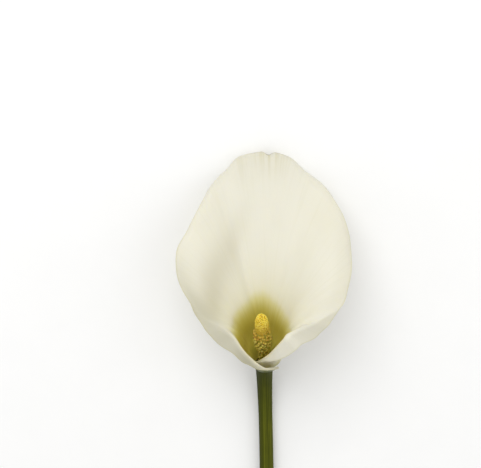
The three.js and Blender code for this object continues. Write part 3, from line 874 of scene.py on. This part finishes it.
# %% A finish, with its textures, colours and light
class Finish(NodeBoard):
    def __init__(self, name, **sockets):
        self.material = bpy.data.materials.new(name)
        self.material.use_nodes = True
        super().__init__(self.material.node_tree)
        self.shader = self.tree.nodes["Principled BSDF"]
        for socket, value in sockets.items():
            self.shader.inputs[socket.replace("_", " ")].default_value = value

    def noise(self, vector=None, scale=1.0, detail=2.0, roughness=0.5):
        node = self.add("ShaderNodeTexNoise")
        if vector is None:
            vector = self.add("ShaderNodeTexCoord").outputs["Object"]
        self.link(vector, node.inputs["Vector"])
        node.inputs["Scale"].default_value = scale
        node.inputs["Detail"].default_value = detail
        node.inputs["Roughness"].default_value = roughness
        return node.outputs["Fac"]

    def ramp(self, value, stops):
        node = self.add("ShaderNodeValToRGB")
        ramp = node.color_ramp
        while len(ramp.elements) < len(stops):
            ramp.elements.new(0.5)
        for element, (position, colour) in zip(ramp.elements, stops):
            element.position, element.color = position, colour
        self.fill(node.inputs[0], value)
        return node.outputs["Color"]

    def mix(self, share, a, b):
        node = self.add("ShaderNodeMix", data_type="RGBA")
        self.fill(node.inputs["Factor"], share)
        self.fill(node.inputs[6], a)
        self.fill(node.inputs[7], b)
        return node.outputs[2]

    def colour(self, value):
        self.fill(self.shader.inputs["Base Color"], value)

    def let_light_through(self, share, colour):
        thin = self.add("ShaderNodeBsdfTranslucent")
        self.fill(thin.inputs["Color"], colour)
        both = self.add("ShaderNodeMixShader")
        self.fill(both.inputs[0], share)
        self.link(self.shader.outputs[0], both.inputs[1])
        self.link(thin.outputs[0], both.inputs[2])
        self.link(both.outputs[0], self.tree.nodes["Material Output"].inputs["Surface"])

    def bump(self, height, distance, strength=1.0):
        node = self.add("ShaderNodeBump")
        node.inputs["Strength"].default_value = strength
        node.inputs["Distance"].default_value = distance
        self.fill(node.inputs["Height"], height)
        self.link(node.outputs["Normal"], self.shader.inputs["Normal"])


# %% [markdown]
# ## The spathe's finish
# The leaf is cream white and waxy. Some light spreads inside it, which subsurface scattering
# stands for, and some passes right through, most of all in the throat, which would be black
# without it. There the leaf turns yellow, then olive green. The throat throws some of its yellow
# on the limb beside it, more than on the real leaf, and that part of the limb lies in some shade,
# so painted light makes it whiter, and painted light brightens the floor of the throat. Painted
# shade darkens the folds, a valley across the limb and the pleats at the tip, and a painted
# highlight runs along the lip's crest. Outside, the tube is green at its foot, and its end beside
# the stalk is dark olive, partly its own green and partly painted shade. The colours are laid
# over one another like coats of paint, each with a share that says where it covers: the stored
# shares of the step before, or a share that sets in or fades over a band of azimuths or
# millimetres.

# %% What the leaf's finish reads
UNDER_LIP, WRAPPED_OVER = (110.0, 150.0), (-150.0, -110.0)  # azimuths near the two margins

petal = Finish(
    "waxy_spathe", Subsurface_Weight=0.2, Subsurface_Scale=0.0012,
    Subsurface_Radius=(1.0, 0.9, 0.55), Specular_IOR_Level=0.35,
)
az, way, inside, rim_way, vein_at = [petal.attribute(name) for name in (
    "azimuth", "travelled", "inner_side", "to_rim", "vein")]
green_at, notch_brown_and_shade_at, fold_shade_at, highlight_at, valley_shade_at = [petal.attribute(name) for name in (
    "green", "notch_brown_and_shade", "fold_shade", "crest", "valley")]
from_middle = petal.math("ABSOLUTE", az)
outside = petal.minus(1.0, inside)
under_lip, wrapped_over = petal.setting_in(az, *UNDER_LIP), petal.fading(az, *WRAPPED_OVER)
# A small factor on the way from the foot stretches a noise into long streaks.
streaks = petal.noise(petal.vector(vein_at, petal.times(way, 0.012), inside), 1.6, 3.0)
fine = petal.noise(
    petal.vector(petal.times(vein_at, 3.0), petal.times(way, 0.02), inside), 1.0, 2.0)
broad = petal.noise(petal.vector(petal.times(az, 0.05), petal.times(way, 0.03)), 1.0)
wobble = petal.times(petal.minus(streaks, 0.5), 0.22)
print("the finish starts with", len(petal.tree.nodes), "nodes")

# %% First coat: cream, throat yellow and tube green
CREAM = srgb(240, 238, 226)
TUBE_GREEN = (3.0, 36.0)  # mm up the outside
LIFT_RIGHT, LIFT_LEFT = 12.0, 13.0  # mm that the green ends lower and higher near the margins

edge_only = petal.times(green_at, petal.minus(1.0, green_at))
throat = petal.plus(green_at, petal.times(edge_only, petal.times(wobble, 4.0)))
inside_hue = petal.ramp(throat, [
    (0.0, CREAM), (0.2, srgb(240, 237, 215)), (0.47, srgb(232, 227, 170)),
    (0.75, srgb(209, 200, 108)), (0.88, srgb(189, 176, 64)), (1.0, srgb(175, 161, 48)),
])
height_out = petal.plus(way, petal.times(wobble, 30.0))
height_out = petal.plus(height_out, petal.times(under_lip, LIFT_RIGHT))
height_out = petal.minus(height_out, petal.times(wrapped_over, LIFT_LEFT))
foot_green = petal.fading(height_out, *TUBE_GREEN)
outside_hue = petal.ramp(foot_green, [
    (0.0, CREAM), (0.35, srgb(216, 212, 162)), (0.7, srgb(166, 166, 92)),
    (1.0, srgb(92, 102, 36)),
])
hue = petal.mix(inside, outside_hue, inside_hue)
print("with the first coat:", len(petal.tree.nodes), "nodes")

# %% Second coat: streaks, painted shade in the valley and painted light beside the throat
STREAK, FINE_STREAK, CLOUD = srgb(212, 209, 172), srgb(206, 204, 168), srgb(228, 222, 192)
VALLEY_SHADE_GREY, LIMB_PAINTED_LIGHT = srgb(196, 190, 158), srgb(255, 253, 238)
LIT_FROM, LIT_TO = (42.0, 70.0), (86.0, 98.0)  # degrees to either side of the middle
LIT_HEIGHTS = (45.0, 66.0)  # mm from the foot

vein_line = petal.setting_in(streaks, 0.52, 0.7)
hue = petal.mix(petal.times(vein_line, 0.07), hue, STREAK)
hue = petal.mix(petal.setting_in(fine, 0.5, 0.75, 0.05), hue, FINE_STREAK)
hue = petal.mix(petal.setting_in(broad, 0.45, 0.75, 0.10), hue, CLOUD)
# Painted shade along the valley across the limb
hue = petal.mix(valley_shade_at, hue, VALLEY_SHADE_GREY)
# Painted light: the limb beside the throat is made whiter, against the shade that falls there
lit_beside_throat = petal.setting_in(from_middle, *LIT_FROM, 0.85)
lit_beside_throat = petal.times(lit_beside_throat, petal.fading(way, *LIT_HEIGHTS))
lit_beside_throat = petal.times(lit_beside_throat, petal.fading(from_middle, *LIT_TO))
lit_beside_throat = petal.times(lit_beside_throat, petal.fading(throat, 0.0, 0.5))
hue = petal.mix(petal.times(lit_beside_throat, inside), hue, LIMB_PAINTED_LIGHT)
print("with the second coat:", len(petal.tree.nodes), "nodes")

# %% Third coat: painted shade and highlight at the tip and the lip, painted light on the throat's floor, and the stalk's end
PLEAT_SHADE, NOTCH_BROWN_AND_SHADE = srgb(214, 208, 172), srgb(112, 98, 46)
FOLD_SHADE_GREY, CREST_HIGHLIGHT_CREAM, RIM_TINT = srgb(192, 189, 166), srgb(252, 246, 220), srgb(204, 197, 150)
THROAT_FLOOR_LIGHT, STALK_GREEN_AND_SHADE = srgb(244, 235, 136), srgb(72, 78, 24)
PLEATS_ACROSS, PLEATS_DOWN = (0.0, 14.0), (10.0, 42.0)  # degrees, mm from the rim
RIM_LINE, FLOOR_HEIGHTS, STALK_HEIGHTS = (0.0, 1.6), (14.0, 30.2), (3.0, 13.0)
STALK_LIFT = 7.0  # mm that the stalk's green and painted shade reach higher where the margin is wrapped over

# Painted shade in the pleats gathered at the tip
gather = petal.fading(from_middle, *PLEATS_ACROSS, 0.45)
gather = petal.times(gather, petal.fading(rim_way, *PLEATS_DOWN))
gather = petal.times(gather, petal.between(streaks, 0.42, 0.62, 0.45, 1.5))
hue = petal.mix(gather, hue, PLEAT_SHADE)
# Painted shade over the folds and parts of the rim
hue = petal.mix(fold_shade_at, hue, FOLD_SHADE_GREY)
# A painted highlight along the lip's crest
hue = petal.mix(highlight_at, hue, CREST_HIGHLIGHT_CREAM)
hue = petal.mix(petal.fading(rim_way, *RIM_LINE, 0.35), hue, RIM_TINT)
# Painted light: the floor of the throat is brightened
floor_light = petal.times(throat, petal.fading(way, *FLOOR_HEIGHTS))
hue = petal.mix(petal.times(floor_light, inside), hue, THROAT_FLOOR_LIGHT)
# The notch's dark brown, partly the tip's own colour and partly painted shade
hue = petal.mix(notch_brown_and_shade_at, hue, NOTCH_BROWN_AND_SHADE)
# The stalk's end: partly the spathe's own green foot, partly painted shade under the bloom
stalk_way = petal.minus(way, petal.times(wrapped_over, STALK_LIFT))
stalk_green_and_shade = petal.times(petal.fading(stalk_way, *STALK_HEIGHTS, 0.95), outside)
hue = petal.mix(stalk_green_and_shade, hue, STALK_GREEN_AND_SHADE)
petal.colour(hue)
print("with the third coat:", len(petal.tree.nodes), "nodes")

# %% Wax on the skin, and light through the leaf
GLOW_TINT, GLOW_SHARE = srgb(242, 230, 150), 0.4
LIMB_LIGHT, THROAT_LIGHT = 0.24, 0.66  # share of the light that passes through

grain = petal.noise(scale=900.0, detail=2.0)
relief = petal.plus(petal.times(fine, 0.5), petal.times(grain, 0.25))
petal.bump(petal.plus(streaks, relief), distance=0.00012, strength=0.45)
petal.link(petal.between(broad, 0.3, 0.7, 0.38, 0.48), petal.shader.inputs["Roughness"])
glow = petal.mix(GLOW_SHARE, hue, GLOW_TINT)
thin_out = petal.times(throat, petal.fading(under_lip, 0.0, 1.0, 0.5))
deep = petal.mix(inside, thin_out, throat)
thinness = petal.minus(1.0, petal.times(stalk_green_and_shade, wrapped_over))
light_share = petal.between(deep, 0.1, 0.9, LIMB_LIGHT, THROAT_LIGHT)
petal.let_light_through(petal.times(light_share, thinness), glow)
spathe.data.materials.append(petal.material)
print("spathe finish:", len(petal.tree.nodes), "nodes")

# %% [markdown]
# ## The florets' finishes
# Stamens are golden, dusted with pollen, paler on their tops and deeper orange down in the gaps
# between them, which is painted shade. Ovaries run from green to straw with brown stigmas, the
# clubs are pale yellow, and both are dusted gold next to the stamens. Each floret has its own
# shade of colour, or copies would look even.

# %% Paint the stamens
DEEP_GOLD, BRIGHT_GOLD, GAP_SHADE_ORANGE = srgb(238, 208, 54), srgb(252, 234, 108), srgb(192, 148, 34)
LOW_GOLD, POLLEN = srgb(180, 142, 38), srgb(255, 238, 120)
LOW_HEIGHTS = (40.0, 52.0)  # mm above the node

gold = Finish("pollen_gold", Roughness=0.85, Subsurface_Weight=0.1, Subsurface_Scale=0.0005,
              Specular_IOR_Level=0.2)
shade, tip, high = [gold.attribute(name) for name in ("shade", "tip", "height")]
hue = gold.mix(shade, DEEP_GOLD, BRIGHT_GOLD)
# Painted shade: deeper orange low on each stamen, in the gaps between them
hue = gold.mix(gold.fading(tip, -0.2, 0.9, 0.8), hue, GAP_SHADE_ORANGE)
hue = gold.mix(gold.fading(high, *LOW_HEIGHTS, 0.8), hue, LOW_GOLD)
dust = gold.noise(scale=1500.0, detail=3.0)
hue = gold.mix(gold.setting_in(dust, 0.45, 0.7, 0.4), hue, POLLEN)
gold.colour(hue)
gold.bump(dust, distance=0.00015, strength=0.9)
staminate.data.materials.append(gold.material)
print("stamen finish:", len(gold.tree.nodes), "nodes")

# %% Paint the ovaries and the clubs
OVARY_GREEN, OVARY_STRAW, STIGMA_BROWN = srgb(160, 154, 52), srgb(200, 186, 78), srgb(168, 122, 66)
CLUB_YELLOW, CLUB_PALE, CLUB_BROWN = srgb(214, 196, 84), srgb(232, 218, 122), srgb(178, 132, 70)
DUSTED, MOTTLE = srgb(204, 160, 52), srgb(206, 192, 104)
DUSTED_HEIGHTS = (28.0, 39.0)  # mm above the node

straw = Finish("ovary_straw", Roughness=0.55, Subsurface_Weight=0.15, Subsurface_Scale=0.0008,
               Specular_IOR_Level=0.25)
shade, tip, high, kind = [straw.attribute(name) for name in ("shade", "tip", "height", "kind")]
ovary = straw.mix(shade, OVARY_GREEN, OVARY_STRAW)
ovary = straw.mix(straw.setting_in(tip, 0.3, 0.9, 0.6), ovary, STIGMA_BROWN)
club = straw.mix(shade, CLUB_YELLOW, CLUB_PALE)
club = straw.mix(straw.setting_in(shade, 0.88, 0.92), club, CLUB_BROWN)
hue = straw.mix(kind, ovary, club)
hue = straw.mix(straw.setting_in(high, *DUSTED_HEIGHTS, 0.65), hue, DUSTED)
mottle = straw.noise(scale=900.0, detail=3.0)
hue = straw.mix(straw.setting_in(mottle, 0.45, 0.7, 0.35), hue, MOTTLE)
straw.colour(hue)
straw.bump(mottle, distance=0.00012, strength=0.6)
pistillate.data.materials.append(straw.material)
print("ovary finish:", len(straw.tree.nodes), "nodes")

# %% [markdown]
# ## The stem's finish
# The stalk is deep olive green with lighter streaks along its length, and has a soft sheen.
# Painted shade darkens it along its left side and below the node, under the bloom. Its cut face
# is pale and wet, greener towards the skin, with dark marks of painted shade where air canals end.

# %% Paint the stem
SHADED_GREEN, PATCH_GREEN = srgb(40, 45, 10), srgb(56, 62, 16)
FLESH_PALE, FLESH_GREEN, CANAL_SHADE = srgb(206, 212, 150), srgb(96, 112, 40), srgb(104, 112, 52)
SHADED_NECK, SHADED_SIDE = (8.0, 48.0), (-0.95, -0.1)  # mm below the node, cosines round the stem

stalk = Finish("olive_stalk", Roughness=0.55, Specular_IOR_Level=0.06)
down, around = stalk.attribute("down_stem"), stalk.attribute("round_stem")
cut, out_share, pit = [stalk.attribute(n) for n in ("cut_face", "cut_share", "pit")]
ring_x, ring_y = stalk.math("COSINE", around), stalk.math("SINE", around)
along_stem = stalk.vector(
    stalk.times(ring_x, 6.0), stalk.times(ring_y, 6.0), stalk.times(down, 0.012))
lines = stalk.noise(along_stem, 1.0, 4.0, 0.6)
patches = stalk.noise(scale=60.0, detail=3.0)
hue = stalk.ramp(lines, [
    (0.3, srgb(60, 64, 14)), (0.48, srgb(80, 84, 18)), (0.6, srgb(99, 103, 26)),
    (0.75, srgb(118, 120, 38)),
])
hue = stalk.mix(stalk.setting_in(patches, 0.4, 0.7, 0.3), hue, PATCH_GREEN)
# Painted shade below the node and along the stem's left side
hue = stalk.mix(stalk.fading(down, *SHADED_NECK, 0.6), hue, SHADED_GREEN)
hue = stalk.mix(stalk.fading(ring_x, *SHADED_SIDE, 0.65), hue, SHADED_GREEN)
flesh = stalk.mix(stalk.setting_in(out_share, 0.82, 0.99), FLESH_PALE, FLESH_GREEN)
# Painted shade where the air canals open
flesh = stalk.mix(stalk.times(pit, 0.75), flesh, CANAL_SHADE)
hue = stalk.mix(cut, hue, flesh)
stalk.colour(hue)
stalk.bump(lines, distance=0.0002, strength=0.5)
stem.data.materials.append(stalk.material)
print("finishes:", [m.name for m in bpy.data.materials if m.users])

# %% [markdown]
# ## Hand the pieces to the frame
# Each new piece hides the CAD node that it stands for, is carried by a body, and prints which
# node it stands for. The flower is one rigid body, so all of them ride on the root.

# %% Replace the CAD nodes
for piece, node_name, slot_name in (
    (spathe, "spathe", "spathe"), (stem, "stem", "stem"),
    (staminate, "spadix_staminate", "staminate"), (pistillate, "spadix_pistillate", "pistillate"),
):
    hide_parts(node_name)
    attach(piece, "root")
    print(piece.name, "stands for", node_name)

# %% [markdown]
# ## Table, light and camera
# The flower lies on a plain pale table. White petals need soft light with a direction to it:
# light from all round shows their colour, and two broad lamps show their form, a strong one from
# the upper left into the throat and a weak one from the right. The camera looks down almost
# straight, a little from beyond the tip, so the bloom opens towards it.

# %% Table
bpy.ops.mesh.primitive_plane_add(size=6.0, location=(0, 0, 0))
table = bpy.context.object
table.name = "table_top"
cloth = Finish("pale_table", Roughness=0.9, Specular_IOR_Level=0.2)
fleck = cloth.noise(scale=30.0, detail=2.0)
cloth.colour(cloth.mix(fleck, srgb(250, 250, 249), srgb(247, 247, 246)))
table.data.materials.append(cloth.material)
print("the table is", table.dimensions.x, "m wide")


# %% Lamps
def soft_lamp(name, place, aim, size, power):
    data = bpy.data.lights.new(name, "AREA")
    data.shape, data.size, data.energy = "DISK", size, power
    lamp = bpy.data.objects.new(name, data)
    bpy.context.scene.collection.objects.link(lamp)
    lamp.location = place
    direction = np.array(aim) - np.array(place)
    lamp.rotation_euler = (
        math.atan2(math.hypot(direction[0], direction[1]), -direction[2]), 0,
        math.atan2(direction[0], -direction[1]) + math.pi)


BLOOM = (0.0, 0.11, 0.04)
SKY_STRENGTH = 0.72
soft_lamp("into_the_throat", (-0.4, 1.05, 1.35), BLOOM, size=1.4, power=11.5)
soft_lamp("right_fill", (1.1, 0.1, 1.3), BLOOM, size=1.6, power=3)
world = bpy.data.worlds.new("studio")
bpy.context.scene.world = world
world.use_nodes = True
sky = world.node_tree.nodes["Background"]
sky.inputs["Color"].default_value = (1, 1, 1, 1)
sky.inputs["Strength"].default_value = SKY_STRENGTH
bpy.context.scene.view_settings.view_transform = "Standard"
print("lamps:", [light.name for light in bpy.data.lights])

# %% Camera
CAMERA_FROM_NODE = np.array([-15.52, 188.74, 730.84])
CAMERA_PITCH = math.radians(-8)  # off straight down
camera_data = bpy.data.cameras.new("camera")
camera_data.lens, camera_data.sensor_width = 85, 36
camera_data.clip_start, camera_data.clip_end = 0.05, 20
camera = bpy.data.objects.new("camera", camera_data)
bpy.context.scene.collection.objects.link(camera)
camera.location = (NODE + CAMERA_FROM_NODE) * MM
camera.rotation_euler = (CAMERA_PITCH, 0, 0)
bpy.context.scene.camera = camera
print("camera at", [round(v, 3) for v in camera.location], "m")
